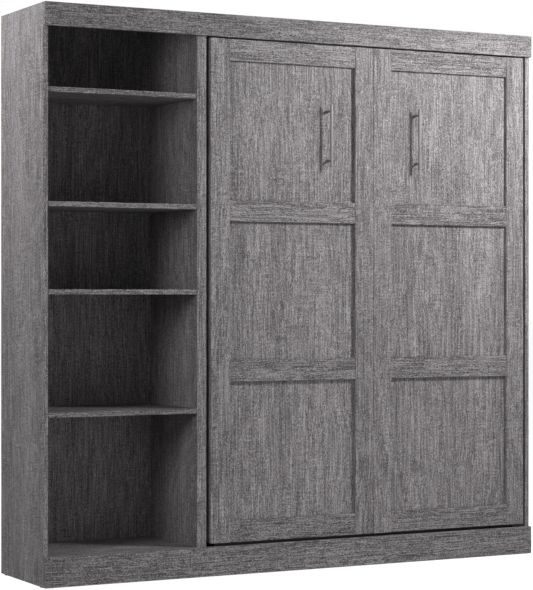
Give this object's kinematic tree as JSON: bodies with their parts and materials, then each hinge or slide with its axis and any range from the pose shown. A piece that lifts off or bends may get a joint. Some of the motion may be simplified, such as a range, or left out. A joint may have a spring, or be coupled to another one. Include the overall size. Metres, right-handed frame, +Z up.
{
  "type": "murphy wall bed",
  "caption": "Grey laminate wall bed with two framed door fronts, bar pulls, a tilting steel bed frame and mattress, and an open shelf unit beside it.",
  "frame": {"origin": "on the floor, under the middle of the object's box", "axes": "+X along the wall to the right as seen from the room, +Y from the doors towards the wall, +Z up"},
  "size_m": [2.1336, 0.4664, 2.1239],
  "materials": {
    "grey_laminate": "matte",
    "brushed_nickel": "satin",
    "black_steel": "satin",
    "zinc_steel": "satin",
    "black_plastic": "matte",
    "slat_wood": "satin",
    "ticking": "matte",
    "webbing": "matte"
  },
  "bodies": {
    "case": {"crown_board": "grey_laminate", "base_board": "grey_laminate", "bookcase_left_side": "grey_laminate", "bookcase_right_side": "grey_laminate", "bookcase_top": "grey_laminate", "bookcase_bottom": "grey_laminate", "bookcase_back": "grey_laminate", "shelf_1": "grey_laminate", "shelf_2": "grey_laminate", "shelf_3": "grey_laminate", "shelf_4": "grey_laminate", "bed_case_left_side": "grey_laminate", "bed_case_right_side": "grey_laminate", "bed_case_top": "grey_laminate", "wall_fixing_rail": "grey_laminate", "headboard_panel": "grey_laminate", "lower_back_rail": "grey_laminate", "front_stretcher": "grey_laminate", "glide_1": "black_plastic", "glide_2": "black_plastic", "glide_3": "black_plastic", "glide_4": "black_plastic", "glide_5": "black_plastic", "glide_6": "black_plastic", "case_pivot_plate_left": "zinc_steel", "case_pivot_plate_right": "zinc_steel", "strut_bracket_left": "zinc_steel", "strut_bracket_right": "zinc_steel"},
    "bed": {"face_board_left": "grey_laminate", "face_board_right": "grey_laminate", "stile_1": "grey_laminate", "stile_2": "grey_laminate", "stile_3": "grey_laminate", "stile_4": "grey_laminate", "face_rail_left_1": "grey_laminate", "face_rail_left_2": "grey_laminate", "face_rail_left_3": "grey_laminate", "face_rail_left_4": "grey_laminate", "face_rail_right_1": "grey_laminate", "face_rail_right_2": "grey_laminate", "face_rail_right_3": "grey_laminate", "face_rail_right_4": "grey_laminate", "handle_left": "brushed_nickel", "handle_right": "brushed_nickel", "frame_side_rail_left": "black_steel", "frame_side_rail_right": "black_steel", "frame_head_rail": "black_steel", "frame_foot_rail": "black_steel", "frame_centre_rail": "black_steel", "mattress_end_stop": "black_steel", "bed_hinge_plate_left": "zinc_steel", "bed_hinge_plate_right": "zinc_steel", "slat_platform": "slat_wood", "mattress": "ticking", "mattress_strap": "webbing"},
    "leg": {"leg_bar": "black_steel"},
    "strut_cylinder_left": {"strut_cylinder_left": "black_steel"},
    "strut_rod_left": {"strut_rod_left": "zinc_steel"},
    "strut_cylinder_right": {"strut_cylinder_right": "black_steel"},
    "strut_rod_right": {"strut_rod_right": "zinc_steel"}
  },
  "joints": [
    {"name": "bed_tilt", "type": "hinge", "parent": "case", "child": "bed", "pos_m": [0, -0.15668, 0.25], "axis": [1, 0, 0], "range_deg": [0, 90]},
    {"name": "leg_swing", "type": "hinge", "parent": "bed", "child": "leg", "pos_m": [0, -0.10867, 1.86], "axis": [1, 0, 0], "range_deg": [0, 219]},
    {"name": "strut_swing_left", "type": "hinge", "parent": "case", "child": "strut_cylinder_left", "pos_m": [-0.388, -0.06867, 0.88], "axis": [1, 0, 0], "range_deg": [0, 2.95]},
    {"name": "strut_slide_left", "type": "slide", "parent": "strut_cylinder_left", "child": "strut_rod_left", "axis": [0, 0.0386, 0.9993], "range_m": [0, 0.156]},
    {"name": "strut_swing_right", "type": "hinge", "parent": "case", "child": "strut_cylinder_right", "pos_m": [1.026, -0.06867, 0.88], "axis": [1, 0, 0], "range_deg": [0, 2.95]},
    {"name": "strut_slide_right", "type": "slide", "parent": "strut_cylinder_right", "child": "strut_rod_right", "axis": [0, 0.0386, 0.9993], "range_m": [0, 0.156]}
  ],
  "couplings": [
    {"joint": "leg_swing", "follows": "bed_tilt", "ratio": 2.4322},
    {"joint": "strut_swing_left", "follows": "bed_tilt", "ratio": 0.032392},
    {"joint": "strut_slide_left", "follows": "bed_tilt", "m_per_rad": 0.098993},
    {"joint": "strut_swing_right", "follows": "bed_tilt", "ratio": 0.032392},
    {"joint": "strut_slide_right", "follows": "bed_tilt", "m_per_rad": 0.098993}
  ]
}
